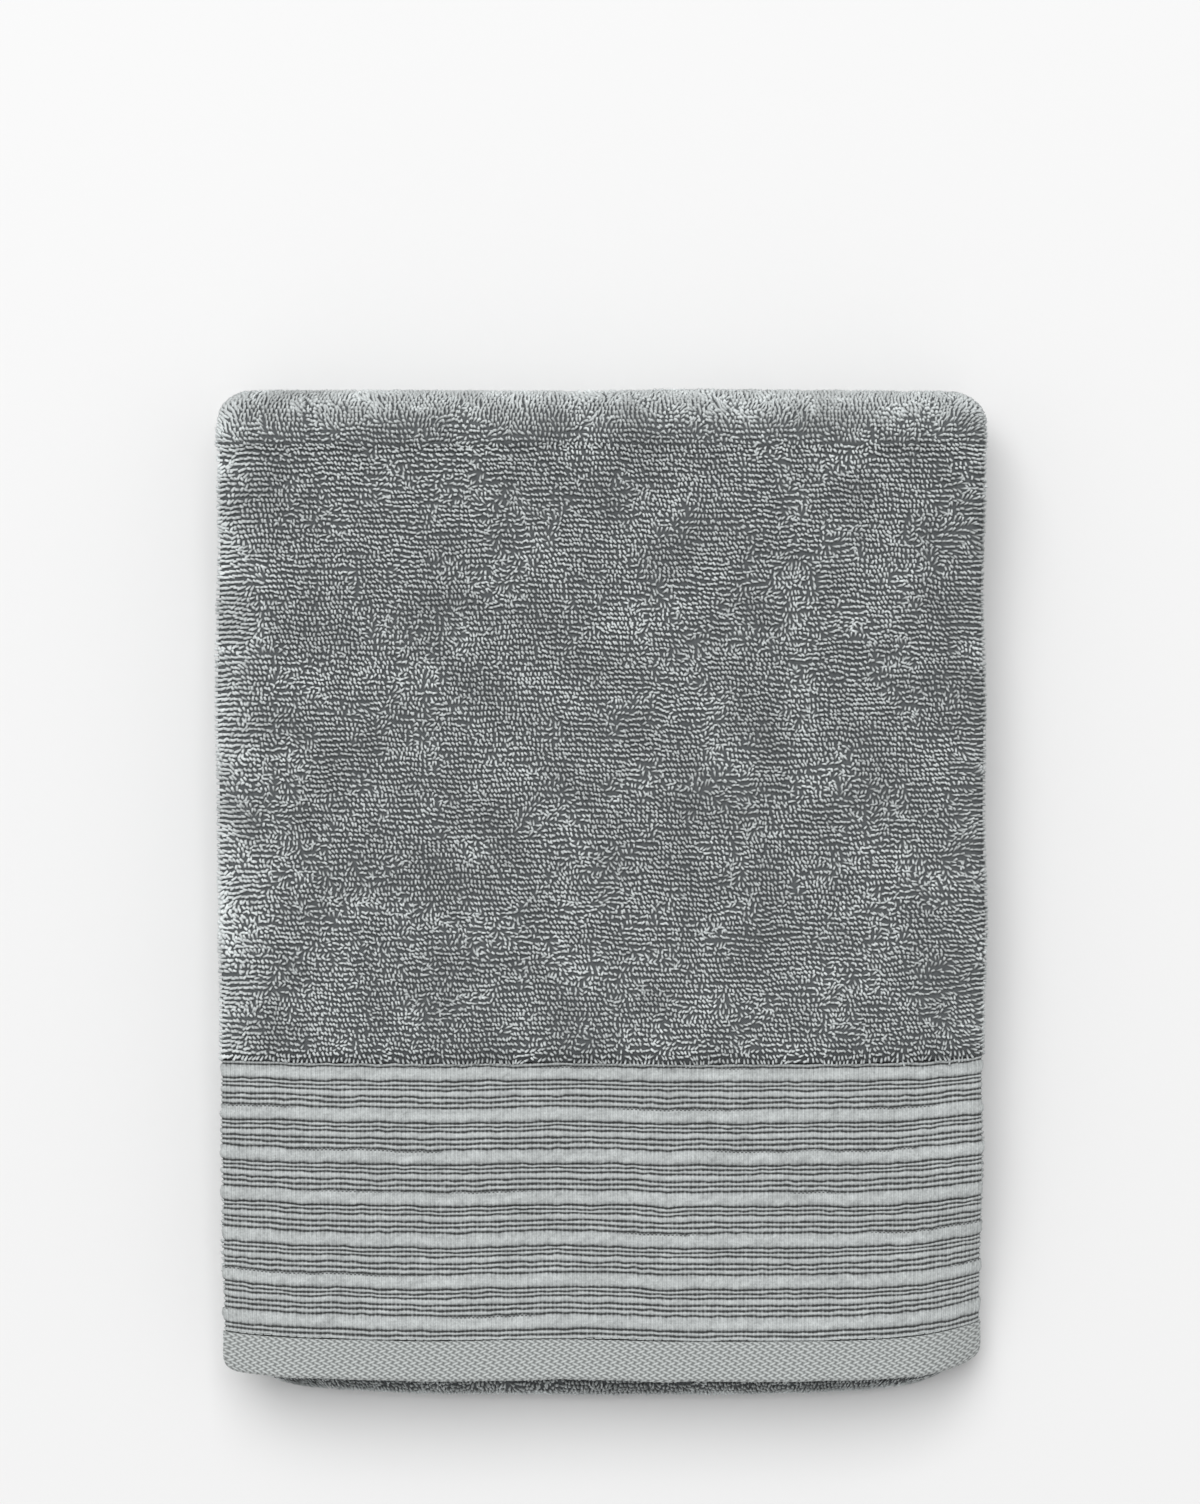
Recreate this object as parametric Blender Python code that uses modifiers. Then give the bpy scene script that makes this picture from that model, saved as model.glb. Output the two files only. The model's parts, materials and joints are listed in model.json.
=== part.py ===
"""A terry bath towel folded for the shelf: lengthwise in thirds, then crosswise in half twice.

Frame: metres, +Z up. The towel lies on its broad face, with its origin under the middle of its
bounding box, +Y towards the back folds and the end hems at -Y. From top to bottom, the quarters of its length
are top, second, third and bottom. The cloth runs from the top quarter's hem round the outer back
fold to the bottom quarter, round the front fold to the third, and round the inner back fold to
the second quarter, whose hem lies under the first. Each quarter is three plies: the centre third on its face,
the left third folded against it, and the right third folded over both.
The upper half (top and second quarters) opens like a book about the back folds' common axis.
"""

import math

import bmesh
import bpy
from mathutils import Vector

# Driving dimensions
FOLDED_WIDTH = 0.254
FOLDED_LENGTH = 0.336
TERRY_PLY = 0.0035  # one ply of terry with its pile, and the room it takes in the stack
BORDER_PLY = 0.0020
HEM_PLY = 0.0024
GAP = 0.0003  # clearance between touching pieces of cloth
BORDER_LENGTH = 0.0905
END_HEM_LENGTH = 0.0130
END_HEM_SETBACK = 0.0085  # the end hems stop this far behind the nose of the front fold
BORDER_INSET = 0.0010  # the thin border folds in a little narrower than the terry
SIDE_HEM_WIDTH = 0.0090
SIDE_HEM_PLY = 0.0026
SIDE_HEM_SETBACK = 0.0040  # the right third's free edge stops short of the left folds
THREAD_DIAMETER = 0.0005
THREAD_ROOM = 0.0012  # length of the stitched line between border and end hem

ARC_STEPS = 8  # segments in a side fold's half turn
WIDE_ARC_STEPS = 16  # segments in a crosswise fold's half turn
SMOOTH_ANGLE = math.radians(40)

# Worked out from the driving dimensions
PLIES = 3  # plies in a quarter, and in each crosswise fold
QUARTER = PLIES * TERRY_PLY  # height of one quarter
FLOOR = -GAP / 2  # the lowest ply keeps half a gap under it, which puts its face at z = 0
AXIS_Z = 2 * QUARTER + FLOOR  # between the second and third quarters
BACK_Y = FOLDED_LENGTH / 2 - (2 * QUARTER - GAP / 2)  # where the back folds begin
FRONT_Y = -FOLDED_LENGTH / 2 + QUARTER - GAP / 2  # where the front fold begins
HEM_END_Y = -FOLDED_LENGTH / 2 + END_HEM_SETBACK
THREAD_Y = HEM_END_Y + END_HEM_LENGTH + THREAD_ROOM / 2
BORDER_FRONT_Y = HEM_END_Y + END_HEM_LENGTH + THREAD_ROOM
BORDER_BACK_Y = BORDER_FRONT_Y + BORDER_LENGTH
TERRY_FRONT_Y = BORDER_BACK_Y + GAP
HINGE = Vector((0, BACK_Y, AXIS_Z))

COLLECTION = "folded_bath_towel"
FACE_UP, FACE_DOWN = 1, -1


def clear_scene():
    """Empties the scene that the script is run in."""
    for obj in list(bpy.data.objects):
        bpy.data.objects.remove(obj)


def material(name, colour, roughness):
    """A matt cotton material."""
    made = bpy.data.materials.new(name)
    made.use_nodes = True
    shader = made.node_tree.nodes["Principled BSDF"]
    shader.inputs["Base Color"].default_value = (*colour, 1)
    shader.inputs["Roughness"].default_value = roughness
    shader.inputs["Metallic"].default_value = 0
    return made


def body_empty(name, location):
    """The parent of everything that moves together; its place is on the body's joint."""
    empty = bpy.data.objects.new(name, None)
    empty.location = location
    bpy.data.collections[COLLECTION].objects.link(empty)
    return empty


def add_object(name, data, body, location, look):
    """Puts a mesh or curve in the towel's collection, at a place given in world coordinates."""
    obj = bpy.data.objects.new(name, data)
    obj.data.materials.append(look)
    obj.parent = body
    obj.location = location - body.location
    bpy.data.collections[COLLECTION].objects.link(obj)
    return obj


def arc(centre, radius, start, end, steps):
    """Points in a plane, from angle start to angle end, both included."""
    angles = [start + (end - start) * i / steps for i in range(steps + 1)]
    return [(centre[0] + radius * math.cos(a), centre[1] + radius * math.sin(a)) for a in angles]


def side_fold_centres(ply, width):
    """X of the left and right side folds' centres, for plies of this thickness."""
    left = -width / 2 + ply - GAP / 2
    right = width / 2 - 1.5 * ply + GAP / 2
    return left, right


def folded_section(ply, width, facing, raised=0.0, edge_hems=False):
    """A folded quarter's cloth line across its width, as offsets (x, 0, z) from its middle height.

    It runs from the left third's edge, inside the right fold, round the left fold, over the
    centre third, round the right fold and back under to the right third's edge. raised moves it
    from the middle of the cloth towards its face, and edge_hems leaves room for the side hems.
    """
    left, right = side_fold_centres(ply, width)
    left_edge, right_edge = right, -width / 2 + SIDE_HEM_SETBACK
    if edge_hems:
        left_edge -= SIDE_HEM_WIDTH + GAP
        right_edge += SIDE_HEM_WIDTH + GAP
    up = math.pi / 2
    line = [(left_edge, -raised)]
    line += arc((left, ply / 2), ply / 2 + raised, 3 * up, up, ARC_STEPS)
    line += arc((right, 0), ply + raised, up, -up, ARC_STEPS)
    line += [(right_edge, -ply - raised)]
    return [Vector((x, 0, z * facing)) for x, z in line]


def crosswise_fold_section(radius, opening):
    """A half turn of cloth in the YZ plane; opening is 1 for a fold at the back, -1 at the front."""
    turn = arc((0, 0), radius, -math.pi / 2, math.pi / 2, WIDE_ARC_STEPS)
    return [Vector((0, y * opening, z)) for y, z in turn]


def cloth(name, section, start, run, thickness, body, look, even=True):
    """A sheet of cloth: its section line drawn out along run from start, then thickened."""
    bm = bmesh.new()
    points = [bm.verts.new(p) for p in section]
    edges = [bm.edges.new(pair) for pair in zip(points, points[1:])]
    drawn = bmesh.ops.extrude_edge_only(bm, edges=edges)["geom"]
    far_side = [part for part in drawn if isinstance(part, bmesh.types.BMVert)]
    bmesh.ops.translate(bm, verts=far_side, vec=run)
    mesh = bpy.data.meshes.new(name)
    bm.to_mesh(mesh)
    bm.free()
    mesh.shade_smooth()
    mesh.set_sharp_from_angle(angle=SMOOTH_ANGLE)
    obj = add_object(name, mesh, body, start, look)
    thicken = obj.modifiers.new("thickness", "SOLIDIFY")
    thicken.thickness = thickness
    thicken.offset = 0
    thicken.use_even_offset = even
    return obj


def terry_quarter(name, level, facing, front_y, body, look):
    """The plain terry run of one quarter: three plies joined by the left and right side folds."""
    middle = Vector((0, front_y, FLOOR + (level + 0.5) * QUARTER))
    run = Vector((0, BACK_Y - GAP - front_y, 0))
    section = folded_section(TERRY_PLY, FOLDED_WIDTH, facing, edge_hems=True)
    cloth(f"{name}_terry", section, middle, run, TERRY_PLY - GAP, body, look)


def side_hems(name, level, facing, front_y, body, look):
    """The stitched-down long edges of the cloth, on the free edges of the left and right thirds."""
    middle = FLOOR + (level + 0.5) * QUARTER
    run = Vector((0, BACK_Y - GAP - front_y, 0))
    right_fold = side_fold_centres(TERRY_PLY, FOLDED_WIDTH)[1]
    places = {
        "left": (right_fold - SIDE_HEM_WIDTH, middle),
        "right": (-FOLDED_WIDTH / 2 + SIDE_HEM_SETBACK, middle - TERRY_PLY * facing),
    }
    across = [Vector((0, 0, 0)), Vector((SIDE_HEM_WIDTH, 0, 0))]
    for side, (x, z) in places.items():
        start = Vector((x, front_y, z))
        cloth(f"{name}_{side}_side_hem", across, start, run, SIDE_HEM_PLY, body, look)


def hem_height(stacked):
    """Middle height of an end hem that rests on the third quarter and on this many other hems."""
    return FLOOR + 2 * QUARTER + GAP + (stacked + 0.5) * (PLIES * HEM_PLY + GAP)


def ribbed_border(name, level, stacked, facing, body, look):
    """The flat woven border, which slopes from the terry down to its end hem."""
    back = Vector((0, BORDER_BACK_Y, FLOOR + (level + 0.5) * QUARTER))
    front = Vector((0, BORDER_FRONT_Y, hem_height(stacked)))
    section = folded_section(BORDER_PLY, FOLDED_WIDTH - 2 * BORDER_INSET, facing)
    cloth(f"{name}_ribbed_border", section, front, back - front, BORDER_PLY - GAP, body, look)


def end_hem(name, stacked, facing, body, look):
    """The turned-over and stitched end of the towel."""
    start = Vector((0, HEM_END_Y, hem_height(stacked)))
    run = Vector((0, END_HEM_LENGTH, 0))
    section = folded_section(HEM_PLY, FOLDED_WIDTH - 2 * BORDER_INSET, facing)
    cloth(f"{name}_end_hem", section, start, run, HEM_PLY - GAP, body, look)


def end_hem_thread(name, stacked, facing, body, look):
    """The line of stitching between border and end hem, which follows the folded cloth's face."""
    raised = (HEM_PLY - GAP - THREAD_DIAMETER) / 2
    section = folded_section(HEM_PLY, FOLDED_WIDTH - 2 * BORDER_INSET, facing, raised)
    curve = bpy.data.curves.new(f"{name}_end_hem_thread", "CURVE")
    curve.dimensions = "3D"
    curve.bevel_depth = THREAD_DIAMETER / 2
    curve.bevel_resolution = 2
    curve.use_fill_caps = True
    line = curve.splines.new("POLY")
    line.points.add(len(section) - 1)
    for point, place in zip(line.points, section):
        point.co = (*place, 1)
    add_object(curve.name, curve, body, Vector((0, THREAD_Y, hem_height(stacked))), look)


def crosswise_fold(name, inner_radius, y, z, opening, order, body, look):
    """Three nested half turns of cloth, named from the inside out by the third they belong to."""
    run_margin = Vector((GAP, 0, 0))
    for i, third in enumerate(order):
        radius = inner_radius + (i + 0.5) * TERRY_PLY
        section = crosswise_fold_section(radius, opening)
        start = Vector((-FOLDED_WIDTH / 2, y, z)) + run_margin
        run = Vector((FOLDED_WIDTH, 0, 0)) - 2 * run_margin
        thickness = TERRY_PLY - GAP
        cloth(f"{name}_{third}_third", section, start, run, thickness, body, look, even=False)


def build():
    """Lays the towel's quarters, folds, borders and hems on each other."""
    clear_scene()
    towel = bpy.data.collections.new(COLLECTION)
    bpy.context.scene.collection.children.link(towel)
    terry = material("terry", (0.26, 0.275, 0.28), 0.95)
    border = material("ribbed_border", (0.38, 0.40, 0.40), 0.85)
    hem = material("hem_twill", (0.42, 0.45, 0.44), 0.85)
    thread = material("sewing_thread", (0.46, 0.48, 0.47), 0.7)
    lower = body_empty("lower_half", Vector((0, 0, 0)))
    upper = body_empty("upper_half", HINGE)

    lower_front = FRONT_Y + GAP
    quarters = (
        ("bottom_quarter", 0, FACE_DOWN, lower_front, lower),
        ("third_quarter", 1, FACE_UP, lower_front, lower),
        ("second_quarter", 2, FACE_DOWN, TERRY_FRONT_Y, upper),
        ("top_quarter", 3, FACE_UP, TERRY_FRONT_Y, upper),
    )
    for name, level, facing, front_y, body in quarters:
        terry_quarter(name, level, facing, front_y, body, terry)
        side_hems(name, level, facing, front_y, body, hem)

    ends = (("second_quarter", 2, 0, FACE_DOWN), ("top_quarter", 3, 1, FACE_UP))
    for name, level, stacked, facing in ends:
        ribbed_border(name, level, stacked, facing, upper, border)
        end_hem(name, stacked, facing, upper, hem)
        end_hem_thread(name, stacked, facing, upper, thread)

    face_inside = ("centre", "left", "right")
    face_outside = ("right", "left", "centre")
    crosswise_fold("outer_back_fold", QUARTER, BACK_Y, AXIS_Z, 1, face_outside, lower, terry)
    crosswise_fold("inner_back_fold", 0, BACK_Y, AXIS_Z, 1, face_inside, lower, terry)
    crosswise_fold("front_fold", 0, FRONT_Y, QUARTER + FLOOR, -1, face_outside, lower, terry)


build()
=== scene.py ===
"""Looks of the folded bath towel.

The towel is made the way it is in life. Each part is laid out flat in cloth coordinates: s across the
cloth, n out of its face and a run along its length. One set of folding functions then carries
every point to its place in the folded towel, so the ground weave, the pile loops, the ribs and
the hems all follow the same folds.
"""

import json
import math

import bmesh
import bpy
import numpy as np
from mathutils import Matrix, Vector


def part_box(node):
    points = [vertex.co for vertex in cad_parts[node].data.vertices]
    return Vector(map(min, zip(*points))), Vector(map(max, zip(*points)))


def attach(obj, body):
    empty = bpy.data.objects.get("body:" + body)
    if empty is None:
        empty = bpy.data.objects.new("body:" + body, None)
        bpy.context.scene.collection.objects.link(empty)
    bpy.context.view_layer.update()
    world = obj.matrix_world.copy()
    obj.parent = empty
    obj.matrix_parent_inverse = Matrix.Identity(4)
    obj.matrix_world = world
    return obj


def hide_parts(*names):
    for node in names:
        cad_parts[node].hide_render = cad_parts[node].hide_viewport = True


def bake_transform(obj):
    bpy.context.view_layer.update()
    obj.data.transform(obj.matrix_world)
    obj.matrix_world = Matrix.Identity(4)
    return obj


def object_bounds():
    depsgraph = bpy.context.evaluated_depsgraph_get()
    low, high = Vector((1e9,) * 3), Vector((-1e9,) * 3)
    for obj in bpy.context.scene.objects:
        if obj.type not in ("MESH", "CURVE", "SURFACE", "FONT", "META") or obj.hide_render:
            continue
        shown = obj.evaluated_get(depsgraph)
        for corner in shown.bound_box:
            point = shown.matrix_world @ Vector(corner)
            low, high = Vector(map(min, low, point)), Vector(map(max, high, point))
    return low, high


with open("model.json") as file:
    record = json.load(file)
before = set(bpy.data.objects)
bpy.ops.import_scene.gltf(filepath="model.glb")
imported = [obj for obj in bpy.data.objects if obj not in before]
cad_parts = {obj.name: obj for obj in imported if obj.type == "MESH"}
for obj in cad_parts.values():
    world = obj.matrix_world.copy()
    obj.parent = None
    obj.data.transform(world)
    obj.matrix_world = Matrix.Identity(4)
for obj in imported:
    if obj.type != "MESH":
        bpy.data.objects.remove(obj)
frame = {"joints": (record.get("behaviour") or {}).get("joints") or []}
CAD_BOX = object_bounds()

MM = 0.001


def low(node):
    return np.array(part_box(node)[0])


def high(node):
    return np.array(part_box(node)[1])


# The fold, read from the frame
HINGE = np.array(frame["joints"][0]["pos_m"])
BACK, AXIS_Z = HINGE[1], HINGE[2]
GAP = BACK - high("bottom_quarter_terry")[1]
FRONT = low("bottom_quarter_terry")[1] - GAP
QUARTER = high("bottom_quarter_terry")[2] + GAP
PLY = QUARTER / 3
WIDTH = CAD_BOX[1][0] - CAD_BOX[0][0]
NOSE = CAD_BOX[0][1]
TAIL = CAD_BOX[1][1]
TERRY_FRONT = low("top_quarter_terry")[1]
BORDER_BACK = high("top_quarter_ribbed_border")[1]
BORDER_FRONT = low("top_quarter_ribbed_border")[1]
HEM_BACK = high("top_quarter_end_hem")[1]
HEM_FRONT = low("top_quarter_end_hem")[1]
HEM_PLY = (high("top_quarter_end_hem")[2] - low("top_quarter_end_hem")[2] + GAP) / 3
BORDER_END = HEM_BACK  # the border's cloth carries on under the line of stitching

# The cloth
BORDER_PLY = 2.0 * MM
BORDER_INSET = 0.9 * MM  # the thin border and hem fold in a little narrower than the terry
FACE_LAP = 6.0 * MM  # how far the border's face runs past the centre third's side folds
SIDE_HEM_WIDTH = 9.0 * MM
SIDE_HEM_SETBACK = 4.0 * MM
GROUND_HALF = 0.40 * MM  # half the thickness of the terry's ground weave
PITCH_ACROSS = 1.33 * MM  # from loop to loop across the towel
PITCH_ALONG = 1.67 * MM
LOOP_HEIGHT = 1.45 * MM
LOOP_HALF_WIDTH = 0.54 * MM
YARN_RADIUS = 0.43 * MM

# How a handled towel departs from a perfect fold
BACK_CORNER = 12 * MM
HEM_CORNER = 5 * MM
NOSE_CORNER = 28 * MM
LEFT_SLUMP = 4.5 * MM
RIGHT_SLUMP = 7.0 * MM

LEVELS = {"bottom": 0, "third": 1, "second": 2, "top": 3}
FACING = {"bottom": -1, "third": 1, "second": -1, "top": 1}
HALF = {"bottom": "lower_half", "third": "lower_half", "second": "upper_half", "top": "upper_half"}


# Random fields


def noise(x, y, pitch, seed):
    """A smooth random field between about -1 and 1, with this distance between its lattice points."""
    cells = 64
    lattice = np.random.RandomState(seed).uniform(-1, 1, (cells, cells))
    gx, gy = np.asarray(x) / pitch + 17.3, np.asarray(y) / pitch + 29.7
    ix, iy = np.floor(gx).astype(int), np.floor(gy).astype(int)
    fx, fy = gx - ix, gy - iy
    fx, fy = fx * fx * (3 - 2 * fx), fy * fy * (3 - 2 * fy)
    a = lattice[ix % cells, iy % cells]
    b = lattice[(ix + 1) % cells, iy % cells]
    c = lattice[ix % cells, (iy + 1) % cells]
    d = lattice[(ix + 1) % cells, (iy + 1) % cells]
    return (a * (1 - fx) + b * fx) * (1 - fy) + (c * (1 - fx) + d * fx) * fy


def ease(x, start, end):
    """0 before start, 1 after end, smooth between; start may be the larger."""
    t = np.clip((x - start) / (end - start), 0, 1)
    return t * t * (3 - 2 * t)


# Folding


def rounded_corner(depth, radius):
    """How far an outline steps in at this share (0 to 1) of a corner's depth."""
    depth = np.clip(depth, 0, 1.02)
    return radius * (1 - np.sqrt(np.maximum(1 - 0.92 * depth**2, 0)))


def settle(x, y, z):
    """The small departures from a perfect fold that a handled towel has."""
    side = np.abs(x) / (WIDTH / 2)
    upper = ease(z, 12 * MM, 24 * MM)
    under_hem = ease(z, 27 * MM, 21 * MM)
    back = rounded_corner((y - (TAIL - BACK_CORNER)) / BACK_CORNER, BACK_CORNER)
    hem = rounded_corner((HEM_FRONT + HEM_CORNER - y) / HEM_CORNER, HEM_CORNER) * (1 - under_hem)
    nose = rounded_corner((NOSE + NOSE_CORNER - y) / NOSE_CORNER, NOSE_CORNER) * under_hem
    x_new = x - np.sign(x) * (back * side**6 + hem * side**14 + nose * side**3)
    x_new = x_new + 0.7 * MM * noise(y, z * 3, 38 * MM, 3) * side**3

    left_end = np.clip((-x - 92 * MM) / (35 * MM), 0, 1.1) ** 2
    right_end = np.clip((x - 92 * MM) / (35 * MM), 0, 1.1) ** 2
    bow = 1.0 * MM * side**2 + 1.4 * MM * left_end + 2.9 * MM * right_end
    y_new = y + bow * ease(y, 40 * MM, HEM_FRONT) * upper
    nose_bow = np.where(x > 0, 3.4 * MM, 3.8 * MM)
    y_new = y_new + nose_bow * side**3 * ease(y, NOSE + 45 * MM, NOSE) * under_hem
    y_new = y_new + 0.6 * MM * noise(x, z * 3, 45 * MM, 4) * upper

    left_slump = LEFT_SLUMP * np.clip((-x - WIDTH / 2 + 38 * MM) / (38 * MM), 0, 1.05) ** 2
    right_slump = RIGHT_SLUMP * np.clip((x - WIDTH / 2 + 62 * MM) / (62 * MM), 0, 1.05) ** 2
    to_hem = ease(y, TERRY_FRONT - 30 * MM, HEM_FRONT)
    right_slump = right_slump * (1 + 0.8 * to_hem)
    right_droop = 14 * MM * np.clip((x - WIDTH / 2 + 26 * MM) / (26 * MM), 0, 1.05) ** 2 * to_hem
    left_droop = 5 * MM * np.clip((-x - WIDTH / 2 + 24 * MM) / (24 * MM), 0, 1.05) ** 2 * to_hem
    held_up = 1 - 0.85 * ease(y, BACK - 55 * MM, BACK - 8 * MM)
    sag = (left_slump + right_slump) * held_up + left_droop + right_droop
    sag = sag + 0.6 * MM * (noise(x, y, 48 * MM, 5) + 0.5)
    z_new = z - sag * np.clip(z / (4 * QUARTER), 0, 1)
    return x_new, y_new, np.maximum(z_new, 0)


def ply_at(part, y):
    """Thickness of one ply with its share of the gaps, along a quarter."""
    if part in ("bottom", "third"):
        return np.full_like(y, PLY)
    to_border = ease(y, TERRY_FRONT + 1.5 * MM, BORDER_BACK - 3 * MM)
    to_hem = ease(y, BORDER_FRONT + 1 * MM, HEM_BACK)
    return PLY + (BORDER_PLY - PLY) * to_border + (HEM_PLY - BORDER_PLY) * to_hem


def middle_at(part, y):
    """Height of the middle of a quarter's three plies."""
    terry = (LEVELS[part] + 0.5) * QUARTER - GAP / 2
    if part in ("bottom", "third"):
        return np.full_like(y, terry)
    hem = f"{part}_quarter_end_hem"
    hem_middle = (low(hem)[2] + high(hem)[2]) / 2
    slope = np.clip((y - HEM_BACK) / (TERRY_FRONT + 8 * MM - HEM_BACK), 0, 1)
    return hem_middle + (terry - hem_middle) * (0.35 * slope + 0.65 * ease(slope, 0, 1))


def side_centres(part, y, ply):
    """X of the centres of the left and right side folds."""
    shift = LEVELS.get(part, 1.5)
    left_wander = 0.8 * MM * noise(y, shift * 50 * MM, 33 * MM, 11)
    right_wander = 0.8 * MM * noise(y, shift * 50 * MM, 37 * MM, 12)
    inset = BORDER_INSET * ease(y, TERRY_FRONT + 1 * MM, BORDER_BACK - 3 * MM)
    if part not in ("top", "second"):
        inset = 0
    left = -WIDTH / 2 + ply + inset + left_wander
    right = WIDTH / 2 - 1.5 * ply - inset + right_wander
    return left, right


def fold_across(s, n, ply, left, right):
    """X, and height above the quarter's middle, of a point on the cloth folded in thirds."""
    left_radius, right_radius = ply / 2 + GROUND_HALF, ply + GROUND_HALF
    left_turn, right_turn = (left - s) / left_radius, (s - right) / right_radius
    left_angle, right_angle = np.clip(left_turn, 0, math.pi), np.clip(right_turn, 0, math.pi)
    left_run = np.maximum(left_turn - math.pi, 0) * left_radius
    right_run = np.maximum(right_turn - math.pi, 0) * right_radius
    x, up = s, ply + n
    x = np.where(left_turn > 0, left - (ply / 2 + n) * np.sin(left_angle) + left_run, x)
    up = np.where(left_turn > 0, ply / 2 + (ply / 2 + n) * np.cos(left_angle), up)
    x = np.where(right_turn > 0, right + (ply + n) * np.sin(right_angle) - right_run, x)
    up = np.where(right_turn > 0, (ply + n) * np.cos(right_angle), up)
    return x, up


# Radius of each crosswise fold to its cloth's middle, and to the face that its length is measured on
BEND_RADIUS = {"outer_back": 1.5 * QUARTER, "inner_back": 0.5 * QUARTER, "front": 0.5 * QUARTER}
BEND_FACE = {
    "outer_back": 1.5 * QUARTER + PLY + GROUND_HALF,
    "inner_back": 0.5 * QUARTER,
    "front": 0.5 * QUARTER + PLY + GROUND_HALF,
}


def bend_length(part):
    return math.pi * BEND_FACE[part]


def place(part, s, n, along):
    """Carries cloth points to the folded towel. along is Y in a quarter, and the distance round a
    crosswise fold from its lower end in a bend."""
    s, n, along = np.broadcast_arrays(s, n, along)
    if part in LEVELS:
        ply = ply_at(part, along)
        x, up = fold_across(s, n, ply, *side_centres(part, along, ply))
        return np.stack(settle(x, along, middle_at(part, along) + FACING[part] * up), -1)
    end = FRONT if part == "front" else BACK
    ply = np.full_like(along, PLY)
    x, up = fold_across(s, n, ply, *side_centres(part, np.full_like(along, end), ply))
    angle = along / BEND_FACE[part]
    if part == "inner_back":
        up = -up
    radius = BEND_RADIUS[part] + up
    away = -1 if part == "front" else 1
    centre_z = QUARTER - GAP / 2 if part == "front" else AXIS_Z
    y = end + away * radius * np.sin(angle)
    return np.stack(settle(x, y, centre_z - radius * np.cos(angle)), -1)


# Meshes


def new_object(name, points, quads, body, look, smooth=True):
    """An object of quads, from arrays of points and of corner numbers."""
    mesh = bpy.data.meshes.new(name)
    points = np.asarray(points, np.float32).reshape(-1, 3)
    quads = np.asarray(quads, np.int32).reshape(-1, 4)
    mesh.vertices.add(len(points))
    mesh.vertices.foreach_set("co", points.ravel())
    mesh.loops.add(quads.size)
    mesh.loops.foreach_set("vertex_index", quads.ravel())
    mesh.polygons.add(len(quads))
    mesh.polygons.foreach_set("loop_start", np.arange(0, quads.size, 4, dtype=np.int32))
    mesh.update(calc_edges=True)
    mesh.validate()
    if smooth:
        mesh.shade_smooth()
    mesh.materials.append(look)
    obj = bpy.data.objects.new(name, mesh)
    bpy.context.scene.collection.objects.link(obj)
    if body:
        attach(obj, body)
    return obj


def point_value(obj, name, values):
    """A number for each vertex, which a material can read."""
    layer = obj.data.attributes.new(name, "FLOAT", "POINT")
    layer.data.foreach_set("value", np.asarray(values, np.float32).ravel())


def corner_uv(obj, name, uv):
    """A UV map from an array with one pair for each corner."""
    layer = obj.data.uv_layers.new(name=name)
    layer.uv.foreach_set("vector", np.asarray(uv, np.float32).ravel())


def grid_quads(rows, columns, closed_rows=False, start=0):
    """Corner numbers of a grid of points stored row by row."""
    r = np.arange(rows if closed_rows else rows - 1)
    c = np.arange(columns - 1)
    r, c = np.meshgrid(r, c, indexing="ij")
    after = (r + 1) % rows
    corners = (r * columns + c, r * columns + c + 1, after * columns + c + 1, after * columns + c)
    return np.stack(corners, -1).reshape(-1, 4) + start


def rim_quads(rows, columns):
    """The narrow faces that join a shell's two grids round their rims."""
    top = np.arange(rows * columns).reshape(rows, columns)
    rim = np.concatenate([top[0, :-1], top[:-1, -1], top[-1, :0:-1], top[:0:-1, 0]])
    after = np.roll(rim, -1)
    below = rows * columns
    return np.stack([rim, rim + below, after + below, after], -1)


def shell(name, part, s, along, face, back, body, look):
    """A closed sheet of cloth on the grid of s (columns) and along (rows). face and back are the
    distances of its two surfaces from the cloth's middle."""
    columns, rows = len(s), len(along)
    grid_s, grid_along = np.meshgrid(s, along)
    face = np.broadcast_to(face, grid_s.shape)
    back = np.broadcast_to(back, grid_s.shape)
    points = np.concatenate(
        [
            place(part, grid_s, face, grid_along).reshape(-1, 3),
            place(part, grid_s, back, grid_along).reshape(-1, 3),
        ]
    )
    top = grid_quads(rows, columns)
    bottom = grid_quads(rows, columns, start=rows * columns)[:, ::-1]
    quads = np.concatenate([top, bottom, rim_quads(rows, columns)])
    flipped = part in FACING and FACING[part] < 0 or part in ("inner_back", "front")
    if flipped:
        quads = quads[:, ::-1]
    obj = new_object(name, points, quads, body, look)
    flat = np.stack([grid_s, grid_along], -1).reshape(-1, 2)
    corner_uv(obj, "cloth", np.concatenate([flat, flat])[quads.ravel()])
    return obj


def side_limits(ply, inset=0.0):
    """The values of s at the two free edges, and where the side folds begin and end."""
    left, right = -WIDTH / 2 + ply + inset, WIDTH / 2 - 1.5 * ply - inset
    left_arc = math.pi * (ply / 2 + GROUND_HALF)
    right_arc = math.pi * (ply + GROUND_HALF)
    left_edge = left - left_arc - (right - left)
    right_edge = right + right_arc + (right + WIDTH / 2 - SIDE_HEM_SETBACK)
    return left_edge, left - left_arc, left, right, right + right_arc, right_edge


def steps(start, end, pitch):
    return np.linspace(start, end, max(2, int(round(abs(end - start) / pitch)) + 1))


def joined(*runs):
    """One list of positions from runs that share their ends."""
    return np.concatenate([runs[0]] + [run[1:] for run in runs[1:]])


def across_samples(ply, coarse, fine, inset=0.0, trim=0.0):
    """Columns across the whole folded cloth: wide steps on the flats, narrow ones in the folds."""
    a, b, c, d, e, f = side_limits(ply, inset)
    margin = 2 * MM
    return joined(
        steps(a + trim, b - margin, coarse),
        steps(b - margin, c + margin, fine),
        steps(c + margin, d - margin, coarse),
        steps(d - margin, e + margin, fine),
        steps(e + margin, f - trim, coarse),
    )


# Materials


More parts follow.
